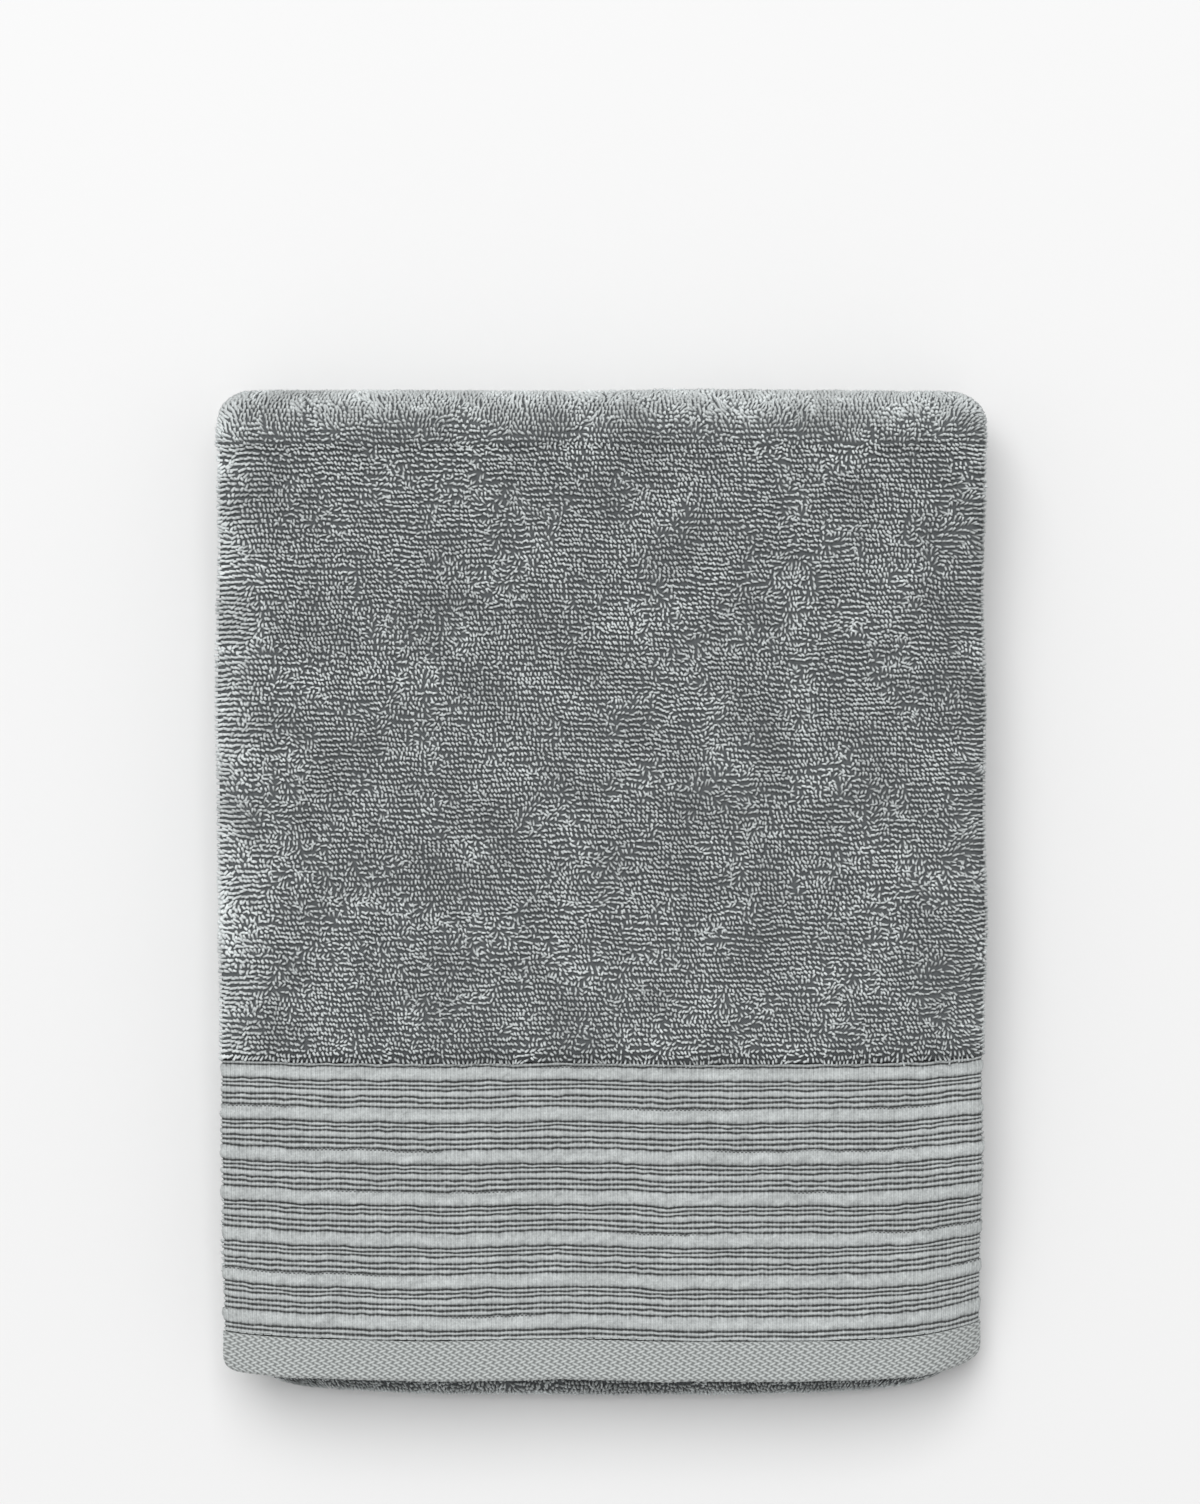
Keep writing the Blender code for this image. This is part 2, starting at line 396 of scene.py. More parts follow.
class Look:
    """A material with helpers for the few kinds of node that these looks use."""

    def __init__(self, name, roughness, sheen=0.0):
        self.material = bpy.data.materials.new(name)
        self.material.use_nodes = True
        self.tree = self.material.node_tree
        self.shader = self.tree.nodes["Principled BSDF"]
        self.shader.inputs["Roughness"].default_value = roughness
        self.shader.inputs["Specular IOR Level"].default_value = 0.25
        self.shader.inputs["Sheen Weight"].default_value = sheen
        self.shader.inputs["Sheen Roughness"].default_value = 0.6

    def node(self, kind, **settings):
        made = self.tree.nodes.new(kind)
        for key, value in settings.items():
            setattr(made, key, value)
        return made

    def link(self, source, target):
        self.tree.links.new(source, target)

    def value(self, operation, a, b=0.0, c=0.0):
        made = self.node("ShaderNodeMath", operation=operation)
        for socket, given in zip(made.inputs, (a, b, c)):
            if isinstance(given, (int, float)):
                socket.default_value = given
            else:
                self.link(given, socket)
        return made.outputs[0]

    def wave(self, position, pitch):
        """A sine along a position, with this distance from crest to crest."""
        return self.value("SINE", self.value("MULTIPLY", position, 2 * math.pi / pitch))

    def attribute(self, name):
        return self.node("ShaderNodeAttribute", attribute_name=name).outputs["Fac"]

    def cloth_position(self):
        """The flat cloth's s and along coordinates."""
        uv = self.node("ShaderNodeUVMap", uv_map="cloth").outputs[0]
        parts = self.node("ShaderNodeSeparateXYZ")
        self.link(uv, parts.inputs[0])
        return parts.outputs[0], parts.outputs[1], uv

    def noise(self, scale, detail=3.0, vector=None):
        made = self.node("ShaderNodeTexNoise")
        made.inputs["Scale"].default_value = scale
        made.inputs["Detail"].default_value = detail
        if vector is None:
            vector = self.node("ShaderNodeTexCoord").outputs["Object"]
        self.link(vector, made.inputs["Vector"])
        return made.outputs["Fac"]

    def ramp(self, factor, *stops):
        """Colours along a factor, from (position, colour) pairs."""
        made = self.node("ShaderNodeValToRGB")
        ends = made.color_ramp.elements
        while len(ends) < len(stops):
            ends.new(0.5)
        for element, (position, colour) in zip(ends, stops):
            element.position = position
            element.color = (*colour, 1)
        self.link(factor, made.inputs[0])
        return made.outputs[0]

    def scaled(self, colour, factor):
        """A colour times a number."""
        made = self.node("ShaderNodeVectorMath", operation="SCALE")
        self.link(colour, made.inputs[0])
        self.link(factor, made.inputs["Scale"])
        return made.outputs[0]

    def bump(self, height, distance, strength=1.0):
        made = self.node("ShaderNodeBump")
        made.inputs["Strength"].default_value = strength
        made.inputs["Distance"].default_value = distance
        self.link(height, made.inputs["Height"])
        self.link(made.outputs[0], self.shader.inputs["Normal"])

    def colour(self, socket):
        self.link(socket, self.shader.inputs["Base Color"])


# Colours, as linear RGB
# The border's groove colour is painted shade
GROOVE_SHADE = (0.055, 0.058, 0.058)
RIB_CROWN = (0.40, 0.42, 0.42)
STRIPE = (0.56, 0.588, 0.585)
HEM_GAP_SHADE = (0.21, 0.221, 0.218)
HEM_MID = (0.38, 0.40, 0.395)
HEM_LIGHT = (0.60, 0.631, 0.624)
# Pile colours: painted shade at the loops' roots, paler towards their crowns
YARN_ROOT_SHADE = (0.10, 0.105, 0.105)
YARN_MID = (0.38, 0.40, 0.40)
YARN_LIGHT = (0.575, 0.605, 0.605)


def pile_look():
    """Looped cotton yarn: painted shade darkens the loops at their roots, and they are pale on their
    crowns; each loop's tone adds random variation with painted light and shade.
    """
    look = Look("terry_pile", 0.9, sheen=0.15)
    depth, tint = look.attribute("depth"), look.attribute("tint")
    yarn = look.ramp(depth, (0.0, YARN_ROOT_SHADE), (0.45, YARN_MID), (0.85, YARN_LIGHT))
    drift = look.value("MULTIPLY_ADD", look.noise(50, 2), 1.1, 0.52)
    shade = look.value("MULTIPLY_ADD", tint, 0.36, 0.82)
    look.colour(look.scaled(yarn, look.value("MULTIPLY", shade, drift)))
    return look.material


def ground_look():
    """The terry's ground weave, its colour darkened as painted shade for its place under the pile."""
    look = Look("terry_ground", 0.95)
    s, along, _uv = look.cloth_position()
    warp = look.wave(s, 0.65 * MM)
    weft = look.wave(along, 0.7 * MM)
    weave = look.value("MULTIPLY", warp, weft)
    speck = look.value("MULTIPLY_ADD", look.noise(900), 0.5, 0.25)
    mix = look.value("MULTIPLY_ADD", weave, 0.2, speck)
    look.colour(look.ramp(mix, (0.2, (0.075, 0.082, 0.086)), (0.8, (0.17, 0.18, 0.185))))
    look.bump(weave, 0.1 * MM)
    return look.material


def border_look():
    """Fine plain weave with its warp showing as close lines, rows of needle-fine holes, and painted shade
    in the grooves between the ribs.
    """
    look = Look("ribbed_border_weave", 0.8, sheen=0.1)
    s, along, _uv = look.cloth_position()
    warp = look.wave(s, 0.74 * MM)
    weft = look.wave(along, 0.5 * MM)
    speck = look.noise(1300, 2)
    cloud = look.noise(70, 3)
    mottle = look.noise(330, 3)
    weave = look.value("MULTIPLY", look.value("MULTIPLY_ADD", weft, 0.35, warp), speck)
    tone = look.value("MULTIPLY_ADD", weave, 0.15, look.value("MULTIPLY_ADD", speck, 0.6, 0.64))
    tone = look.value("MULTIPLY", tone, look.value("MULTIPLY_ADD", cloud, 0.3, 0.85))
    tone = look.value("MULTIPLY", tone, look.value("MULTIPLY_ADD", mottle, 0.5, 0.72))
    holes = look.wave(s, 1.34 * MM)
    ragged = look.value("MULTIPLY_ADD", look.noise(800, 1), 0.7, -0.35)
    ragged = look.value("MULTIPLY_ADD", holes, 0.12, ragged)
    relief = look.value("ADD", look.attribute("relief"), ragged)
    # Painted shade: the colour falls to its darkest in the grooves, with ragged breaks along them, and is
    # palest on the rib crowns
    yarn = look.ramp(relief, (0.2, GROOVE_SHADE), (0.66, RIB_CROWN), (1.0, STRIPE))
    open_holes = look.value("MULTIPLY", look.value("GREATER_THAN", holes, 0.0), look.attribute("holes"))
    tone = look.value("MULTIPLY", tone, look.value("MULTIPLY_ADD", open_holes, -0.8, 1.0))
    look.colour(look.scaled(yarn, tone))
    look.bump(look.value("MULTIPLY_ADD", speck, 1.5, weave), 0.08 * MM)
    return look.material


def hem_look():
    """The hem's twill yarn, with painted shade between the raised floats and paler on the floats."""
    look = Look("hem_twill_weave", 0.8, sheen=0.1)
    relief = look.attribute("relief")
    speck = look.noise(1400, 2)
    yarn = look.ramp(relief, (0.05, HEM_GAP_SHADE), (0.45, HEM_MID), (0.9, HEM_LIGHT))
    tone = look.value("MULTIPLY_ADD", speck, 0.2, 0.88)
    look.colour(look.scaled(yarn, tone))
    look.bump(speck, 0.05 * MM)
    return look.material


def plain_weave_look():
    """The plain weave of the side hems."""
    look = Look("side_hem_weave", 0.85)
    s, along, _uv = look.cloth_position()
    warp = look.wave(s, 0.8 * MM)
    weft = look.wave(along, 0.9 * MM)
    weave = look.value("MULTIPLY", warp, weft)
    mix = look.value("MULTIPLY_ADD", weave, 0.4, 0.5)
    look.colour(look.ramp(mix, (0, (0.28, 0.30, 0.30)), (1, (0.46, 0.48, 0.475))))
    look.bump(weave, 0.15 * MM)
    return look.material


def thread_look():
    """Twisted sewing thread."""
    look = Look("sewing_thread", 0.6)
    fibre = look.noise(2500, 2)
    look.colour(look.ramp(fibre, (0.3, HEM_MID), (0.7, HEM_LIGHT)))
    return look.material


# Parts of the towel. Functions of the cloth take s, across it, and a or along, along it.


def ground_cloth(name, part, s, along, body, look):
    """The terry's ground weave in one quarter or crosswise fold."""
    return shell(name, part, s, along, GROUND_HALF, -GROUND_HALF, body, look)


def ruffle_field(s, a):
    """0 where the pile stands calm and upright, 1 where it has been combed over."""
    return ease(0.6 * noise(s, a, 14 * MM, 21) + 0.75 * noise(s, a, 5 * MM, 22), -0.15, 0.45)


def crown_lean(s, a, ruffle, ends):
    """How far each loop's crown leans across and along, in metres; ends are the values of a at the
    pile's front edge, or None, and at the back fold, over which the loops lean outwards."""
    heading = 2.6 * noise(s, a, 17 * MM, 23) + 2.6 * noise(s, a, 4.5 * MM, 24) - 0.9
    reach = (0.22 + 0.75 * ruffle) * MM
    half_width = side_limits(PLY)[3]
    outward = ease(np.abs(s), half_width - 16 * MM, half_width + 2 * MM) * np.sign(s)
    lean_s = reach * np.cos(heading) + 0.9 * MM * outward
    lean_a = reach * np.sin(heading)
    front, back = ends
    if back is not None:
        lean_a = lean_a + 0.7 * MM * ease(a, back - 4 * MM, back + 12 * MM)
    if front is not None:
        lean_a = lean_a - 0.8 * MM * ease(a, front + 4 * MM, front)
    return lean_s, lean_a


def combed_and_painted_light_edge(s, a, ends):
    """1 where the loops lie over the left side fold and the back fold, 0 on the flat. There the yarn is
    thicker, and the loops are made paler as painted light on the two edges that face the lamp.
    """
    left = ease(-s, side_limits(PLY)[3] - 18 * MM, side_limits(PLY)[3] + 4 * MM)
    if ends[1] is None:
        return left
    return np.maximum(left, 0.8 * ease(a, ends[1] + 3 * MM, ends[1] + 19 * MM))


def loop_seeds(s_span, a_span, coarse, rng):
    """The root of every loop, in rows that wander a little and slip against each other."""
    columns = np.arange(s_span[0] + PITCH_ACROSS / 2, s_span[1], PITCH_ACROSS * coarse)
    rows = np.arange(a_span[0] + PITCH_ALONG / 2, a_span[1], PITCH_ALONG * coarse)
    s, a = (grid.ravel() for grid in np.meshgrid(columns, rows))
    slip = 0.55 * PITCH_ACROSS * noise(s, a * 30, 16 * MM, 33)
    drift_s = slip + 0.5 * MM * noise(s, a, 12 * MM, 31) + rng.normal(0, 0.15 * MM, len(s))
    drift_a = 0.65 * MM * noise(s, a, 6 * MM, 32) + rng.normal(0, 0.13 * MM, len(s))
    return s + drift_s, a + drift_a


def loop_paths(s, a, ends, coarse, t, rng):
    """The bent yarn of every loop as points (s, a, n), with its thickness, flank and depth."""
    count = len(s)
    ruffle = ruffle_field(s, a)
    lean_s, lean_a = crown_lean(s, a, ruffle, ends)
    loose = (0.15 + 0.22 * ruffle) * MM
    lean_s = lean_s + rng.normal(0, 1, count) * loose
    lean_a = lean_a + rng.normal(0, 1, count) * loose
    lean = np.hypot(lean_s, lean_a)

    angle = -0.85 + 0.4 * noise(s, a, 20 * MM, 41) + rng.normal(0, 0.26, count)
    to_lean = np.arctan2(lean_a, lean_s) - angle
    to_lean = to_lean - math.pi * np.round(to_lean / math.pi)
    angle = angle + to_lean * np.clip(lean / (0.9 * MM), 0, 1) ** 1.5
    direction_s, direction_a = np.cos(angle), np.sin(angle)

    height = LOOP_HEIGHT * (1 + rng.normal(0, 0.08, count))
    height = height * (1 - 0.25 * np.clip(lean / LOOP_HEIGHT, 0, 1.2))
    half = coarse * LOOP_HALF_WIDTH * (1 + rng.normal(0, 0.12, count)) * (1 - 0.2 * ruffle)
    yarn = coarse * YARN_RADIUS * (1 + rng.normal(0, 0.07, count))
    combed = combed_and_painted_light_edge(s, a, ends)
    yarn = yarn * (1 + 0.28 * combed)

    rise = np.sin(math.pi * t) ** 0.55
    bar = -np.cos(math.pi * t) * (0.6 + 0.55 * np.sin(math.pi * t))
    path_s = s[:, None] + np.outer(direction_s * half, bar) + np.outer(lean_s, rise)
    path_a = a[:, None] + np.outer(direction_a * half, bar) + np.outer(lean_a, rise)
    path_n = GROUND_HALF - 0.15 * MM + np.outer(height - 0.6 * yarn, rise)
    thickness = np.outer(yarn, 0.8 + 0.25 * np.sin(math.pi * t))
    flank = np.stack([-direction_a, direction_s, np.zeros(count)], -1)
    # The depth floor paints the roots paler on the left and back edges: painted light
    depth = np.clip(np.outer(height, rise) / (1.1 * LOOP_HEIGHT), 0.75 * combed[:, None], 1)
    return np.stack([path_s, path_a, path_n], -1), thickness, flank, depth, ruffle


def tube_rings(path, thickness, flank, sides):
    """Rings of points round each path."""
    tangent = np.gradient(path, axis=1)
    tangent /= np.linalg.norm(tangent, axis=-1, keepdims=True)
    flank = flank[:, None, :]
    flank = flank - (flank * tangent).sum(-1, keepdims=True) * tangent
    flank /= np.linalg.norm(flank, axis=-1, keepdims=True)
    normal = np.cross(tangent, flank)
    turn = 2 * math.pi * (np.arange(sides) + 0.5) / sides
    around = np.cos(turn)[:, None] * flank[:, :, None, :] + np.sin(turn)[:, None] * normal[:, :, None, :]
    return path[:, :, None, :] + thickness[:, :, None, None] * around


def tube_quads(count, segments, sides):
    """Corner numbers of tubes whose points are stored ring by ring, with the segment and the side
    that each of a tube's faces lies in."""
    k, m = (grid.ravel() for grid in np.meshgrid(np.arange(segments), np.arange(sides), indexing="ij"))
    after = (m + 1) % sides
    one = np.stack([k * sides + m, k * sides + after, (k + 1) * sides + after, (k + 1) * sides + m], -1)
    return one[None] + (np.arange(count) * (segments + 1) * sides)[:, None, None], k, m


def pile(name, part, s_span, a_span, body, look, seed, ends, coarse=1.0, sides=4, segments=4):
    """Rows of terry loops on the face of one part, as bent tubes of yarn.

    a is the distance along the towel from one quarter through its crosswise fold, so that the
    pile's patches carry on from one to the other.
    """
    rng = np.random.RandomState(seed)
    s, a = loop_seeds(s_span, a_span, coarse, rng)
    count = len(s)
    t = np.linspace(0, 1, segments + 1)
    path, thickness, flank, depth, ruffle = loop_paths(s, a, ends, coarse, t, rng)
    rings = tube_rings(path, thickness, flank, sides)
    along = rings[..., 1]
    if part == "outer_back":
        along = bend_length(part) + BACK - along
    elif part == "front":
        along = bend_length(part) - FRONT + along
    points = place(part, rings[..., 0], rings[..., 2], along)

    quads, k, m = tube_quads(count, segments, sides)
    mirrored = part in FACING and FACING[part] < 0 or part == "front"
    if not mirrored:
        quads = quads[..., ::-1]
    obj = new_object(name, points, quads, body, look)
    point_value(obj, "depth", np.repeat(depth, sides, axis=1))
    # Each loop's tone: random variation, painted light on patches where the pile is combed over, and
    # painted light on the left and back edges, which face the lamp
    tint = 0.45 * rng.uniform(0, 1, count) + 0.55 * ruffle + 0.5 * combed_and_painted_light_edge(s, a, ends)
    # Painted shade on the front fold: its loops darken towards its top, under the hem, and are paler lower
    # down
    if part == "front":
        tint = tint + 0.5 - 0.6 * ease(points[:, 0, 0, 2], QUARTER, 1.6 * QUARTER)
    point_value(obj, "tint", np.repeat(tint, (segments + 1) * sides))
    corner_uv(obj, "OFBake", pile_cells(count, k, m, segments, sides, mirrored))
    return obj


def pile_cells(count, k, m, segments, sides, mirrored):
    """A bake map for a pile: one small square for each loop, with its faces side by side."""
    across = int(math.ceil(math.sqrt(count)))
    cell = 1 / across
    u0, v0 = k / segments, m / sides
    du, dv = 1 / segments, 1 / sides
    corners = np.stack(
        [
            np.stack([u0, v0], -1),
            np.stack([u0, v0 + dv], -1),
            np.stack([u0 + du, v0 + dv], -1),
            np.stack([u0 + du, v0], -1),
        ],
        1,
    )
    if not mirrored:
        corners = corners[:, ::-1]
    corners = 0.12 + 0.76 * corners
    index = np.arange(count)
    origin = np.stack([index % across, index // across], -1) * cell
    return origin[:, np.newaxis, np.newaxis, :] + corners[np.newaxis] * cell


# Ribs of the border from the terry to the hem: width in mm and kind
THIN_PAIR = ((1.37, "thin"), (1.37, "thin"))
LOWER_PAIR = ((1.65, "thin"), (1.80, "thin"))
WIDE = (5.0, "wide")
RIB_REPEAT = (*THIN_PAIR, (2.35, "medium"), *LOWER_PAIR, WIDE)
RIBS = ((1.3, "thin"), (4.7, "wide"), *(RIB_REPEAT * 6), (1.6, "thin"), (1.6, "thin"))
BORDER_SPLIT = 20  # the border's face is two pieces that meet in the groove before this rib
# Height of a rib, from 0 in its grooves to 1, at shares of its width from the terry side. Each is
# steep on that side and falls slowly towards the hem.
THIN_SHAPE = ((0.0, 0.0), (0.14, 0.32), (0.28, 0.85), (0.44, 1.0), (0.60, 0.86), (0.75, 0.5), (0.88, 0.16))
MEDIUM_SHAPE = (
    (0.0, 0.0), (0.08, 0.35), (0.20, 0.88), (0.40, 1.0), (0.64, 0.92), (0.82, 0.56), (0.93, 0.16),
)  # fmt: skip
WIDE_SHAPE = (
    (0.0, 0.0), (0.03, 0.4), (0.065, 0.66), (0.10, 0.76), (0.16, 0.86), (0.27, 0.94),
    (0.40, 1.0), (0.55, 1.0), (0.70, 0.95), (0.82, 0.82), (0.90, 0.56), (0.955, 0.2),
)  # fmt: skip
RIB_SHAPE = {"thin": THIN_SHAPE, "medium": MEDIUM_SHAPE, "wide": WIDE_SHAPE}
RIB_HEIGHT = {"thin": 0.62 * MM, "medium": 0.72 * MM, "wide": 0.95 * MM}
PUCKER = {"thin": 0.10 * MM, "medium": 0.20 * MM, "wide": 0.42 * MM}
SHALLOW_GROOVE = 0.15  # share of a rib's height that shows in the grooves which aren't below a wide rib
HOLES_FROM, HOLES_TO = 0.06, 0.11  # where a wide rib's needle holes lie


def border_relief(s, first, last):
    """Rows of the border from one rib to another: their distance from the terry, relief, share of
    their rib's height and hole strength at every s."""
    total = sum(width for width, _kind in RIBS)
    edges = np.cumsum([0] + [width for width, _kind in RIBS]) * (BORDER_BACK - BORDER_END) / total
    wobble = [
        0.30 * MM * noise(s, np.full_like(s, i * 3.1 * MM), 12 * MM, 51)
        + 0.26 * MM * noise(s, np.full_like(s, i * 11.9 * MM), 2.8 * MM, 52)
        for i in range(len(edges))
    ]
    distance, relief, share, holes = [], [], [], []
    for i in range(first, last):
        kind = RIBS[i][1]
        after_wide = i > 0 and RIBS[i - 1][1] == "wide"
        groove = 0.0 if after_wide else SHALLOW_GROOVE
        start, end = edges[i] + wobble[i], edges[i + 1] + wobble[i + 1]
        swell = 1 + 0.25 * noise(s, np.full_like(s, i * 5.3 * MM), 6 * MM, 53)
        opened = ease(noise(s, np.full_like(s, i * 9.1 * MM), 26 * MM, 54), 0.05, 0.4)
        crease = ease(noise(s, np.full_like(s, i * 6.7 * MM), 15 * MM, 56), 0.1, 0.7)
        for t, height in RIB_SHAPE[kind]:
            y = start + (end - start) * t
            pucker = noise(s + 0.9 * y, y, 2.2 * MM, 55) + 0.5 * noise(s, y, 1.1 * MM, 57)
            bumps = height * PUCKER[kind] * pucker
            if kind == "wide":
                bumps = bumps - 0.45 * MM * crease * math.exp(-(((t - 0.42) / 0.12) ** 2))
            distance.append(y)
            relief.append(RIB_HEIGHT[kind] * height * swell + bumps)
            share.append(np.full_like(s, max(height, groove)))
            holes.append(opened * (kind == "wide" and HOLES_FROM < t < HOLES_TO))
    distance.append(edges[last] + wobble[last])
    for rows in (relief, share, holes):
        rows.append(np.zeros_like(s))
    return np.array(distance), np.array(relief), np.array(share), np.array(holes)


def border_face(name, part, ribs, pitch, body, look):
    """The ribbed face of the border from one rib to another, as a closed ribbed sheet over its
    centre third and side folds."""
    _a, b, _c, _d, e, _f = side_limits(BORDER_PLY, BORDER_INSET)
    s = steps(b - FACE_LAP, e + FACE_LAP, pitch)
    distance, relief, share, holes = border_relief(s, *ribs)
    rows, columns = relief.shape
    grid_s = np.broadcast_to(s, relief.shape)
    along = BORDER_BACK - distance
    points = np.concatenate(
        [
            place(part, grid_s, 0.05 * MM + relief, along).reshape(-1, 3),
            place(part, grid_s, -0.75 * MM + 0.5 * relief, along).reshape(-1, 3),
        ]
    )
    top = grid_quads(rows, columns)[:, ::-1]
    bottom = grid_quads(rows, columns, start=rows * columns)
    quads = np.concatenate([top, bottom, rim_quads(rows, columns)[:, ::-1]])
    if FACING[part] < 0:
        quads = quads[:, ::-1]
    obj = new_object(name, points, quads, body, look)
    point_value(obj, "relief", np.concatenate([share.ravel(), share.ravel()]))
    point_value(obj, "holes", np.concatenate([holes.ravel(), holes.ravel()]))
    flat = np.stack([grid_s, along], -1).reshape(-1, 2)
    corner_uv(obj, "cloth", np.concatenate([flat, flat])[quads.ravel()])
    return obj


def border_flap(name, part, s, body, look):
    """The part of the border on a flap, folded out of sight."""
    along = steps(BORDER_FRONT, BORDER_BACK, 4 * MM)
    obj = shell(name, part, s, along, 0.6 * MM, -0.6 * MM, body, look)
    point_value(obj, "relief", np.full(len(obj.data.vertices), 0.7))
    point_value(obj, "holes", np.zeros(len(obj.data.vertices)))
    return obj


# The herringbone twill of the end hem
FLOAT_PITCH = 2.75 * MM  # from float to float along a row
FLOAT_ROW = 0.94 * MM
FLOAT_LENGTH = 2.6 * MM
FLOAT_WIDTH = 0.84 * MM
FLOAT_SHIFT = 0.42  # of the pitch, from each row to the next
FLOAT_SLOPE = math.radians(20)


def twill(s, along):
    """Relief of the hem's floats, from 0 to 1: short bars that slant one way and the other by turns."""
    along = along + 0.15 * MM * noise(s, along, 7 * MM, 61)
    s = s + 0.3 * MM * noise(s, along, 5 * MM, 63)
    nearest = np.floor(along / FLOAT_ROW)
    relief = np.zeros_like(s)
    for row in (nearest - 1, nearest, nearest + 1):
        slant = FLOAT_SLOPE * np.where(row % 2, -1, 1)
        run = s / FLOAT_PITCH + row * FLOAT_SHIFT
        x = (run - np.floor(run) - 0.5) * FLOAT_PITCH
        y = along - (row + 0.5) * FLOAT_ROW
        lengthwise = x * np.cos(slant) + y * np.sin(slant)
        across = y * np.cos(slant) - x * np.sin(slant)
        bar = 1 - (2 * np.abs(across) / FLOAT_WIDTH) ** 2
        bar = bar * (1 - (2 * np.abs(lengthwise) / FLOAT_LENGTH) ** 4)
        bar = np.where((np.abs(across) < FLOAT_WIDTH / 2) & (np.abs(lengthwise) < FLOAT_LENGTH / 2), bar, 0)
        relief = np.maximum(relief, bar)
    return relief


def end_hem(name, part, body, look, pitch):
    """The turned-over hem: a flat tube of cloth with a round front edge, folded in thirds with it."""
    ply = HEM_PLY
    a, b, _c, _d, e, f = side_limits(ply, BORDER_INSET)
    s = joined(
        steps(a, b - FACE_LAP, 4 * MM),
        steps(b - FACE_LAP, e + FACE_LAP, pitch),
        steps(e + FACE_LAP, f, 4 * MM),
    )
    half = ply / 2 - 0.25 * MM
    nose_y = HEM_FRONT + half
    face_run = steps(HEM_BACK, nose_y, pitch)
    turn = np.linspace(0, math.pi, 9)[1:-1]
    back_run = steps(nose_y, HEM_BACK, 1.6 * MM)
    along = np.concatenate([face_run, nose_y - half * np.sin(turn), back_run])
    n = np.concatenate([np.full(len(face_run), half), half * np.cos(turn), np.full(len(back_run), -half)])
    rows, columns = len(along), len(s)
    grid_s, grid_along = np.meshgrid(s, along)
    flat_along = np.concatenate(
        [face_run, nose_y - half * turn, nose_y - half * math.pi - (back_run[0] - back_run)]
    )
    relief = twill(grid_s, np.broadcast_to(flat_along[:, None], grid_s.shape))
    outward = np.concatenate([np.ones(len(face_run)), np.cos(turn), -np.ones(len(back_run))])
    ahead = np.concatenate([np.zeros(len(face_run)), np.sin(turn), np.zeros(len(back_run))])
    lift = 0.34 * MM * relief
    edge_wave = 0.3 * MM * noise(grid_s, grid_s * 0, 11 * MM, 62)
    edge_wave = edge_wave * ease(grid_along, HEM_BACK - 4 * MM, HEM_FRONT)
    lifted = n[:, None] + lift * outward[:, None]
    points = place(part, grid_s, lifted, grid_along - lift * ahead[:, None] + edge_wave)
    quads = grid_quads(rows, columns, closed_rows=True)[:, ::-1]
    caps = [np.arange(rows) * columns, np.arange(rows)[::-1] * columns + columns - 1]
    if FACING[part] < 0:
        quads = quads[:, ::-1]
    obj = new_object(name, points.reshape(-1, 3), quads, body, look)
    close_ends(obj, caps)
    point_value(obj, "relief", relief.ravel())
    return obj


def close_ends(obj, rings):
    """Fills the two open ends of a tube."""
    bm = bmesh.new()
    bm.from_mesh(obj.data)
    bm.verts.ensure_lookup_table()
    for ring in rings:
        bm.faces.new([bm.verts[i] for i in ring])
    bmesh.ops.recalc_face_normals(bm, faces=bm.faces)
    bm.to_mesh(obj.data)
    bm.free()


def stitches(name, part, body, look):
    """Lockstitches along the line between border and end hem, on the towel's face."""
    _a, b, _c, _d, e, _f = side_limits(BORDER_PLY, BORDER_INSET)
    length, space, radius = 2.3 * MM, 2.8 * MM, 0.15 * MM
    segments, sides = 5, 5
    starts = np.arange(b, e - length, space)
    t = np.linspace(0, 1, segments + 1)
    turn = 2 * math.pi * np.arange(sides) / sides
    s = starts[:, None, None] + t[None, :, None] * length + 0 * turn[None, None, :]
    arch = np.sin(math.pi * t) ** 0.5
    y = (BORDER_FRONT + HEM_BACK) / 2 + 0.1 * MM * np.sin(starts / (3 * MM))[:, None, None]
    y = y + radius * np.cos(turn)[None, None, :] + 0 * s
    n = 0.35 * MM + 0.2 * MM * arch[None, :, None] + radius * np.sin(turn)[None, None, :] + 0 * s
    points = place(part, s, n, y)
    quads, _k, _m = tube_quads(len(starts), segments, sides)
    if FACING[part] > 0:
        quads = quads[..., ::-1]
    return new_object(name, points, quads, body, look)


def side_hem(name, part, s_edge, along_span, body, look):
    """A stitched-down long edge of the cloth: a narrow, thicker band with a rounded free edge."""
    inward = 1 if s_edge < 0 else -1
    t = np.array([0.0, 0.04, 0.12, 0.3, 0.5, 0.7, 0.8, 0.9, 1.0])
    s = s_edge + inward * SIDE_HEM_WIDTH * t
    thick = 1.15 * MM * np.array([0.35, 0.75, 1.0, 1.0, 1.0, 1.0, 0.72, 0.95, 0.9])
    along = steps(*along_span, 3 * MM)
    if inward < 0:
        s, thick = s[::-1], thick[::-1]
    return shell(name, part, s, along, thick[None, :], -thick[None, :], body, look)


# Putting it together

FLAT_STEP = 5 * MM  # between the ground cloth's points where it lies flat
FOLD_STEP = 1.1 * MM  # and in the side folds


def quarter_span(part):
    """The Y range of a quarter's terry."""
    start = FRONT if HALF[part] == "lower_half" else TERRY_FRONT
    return start, BACK


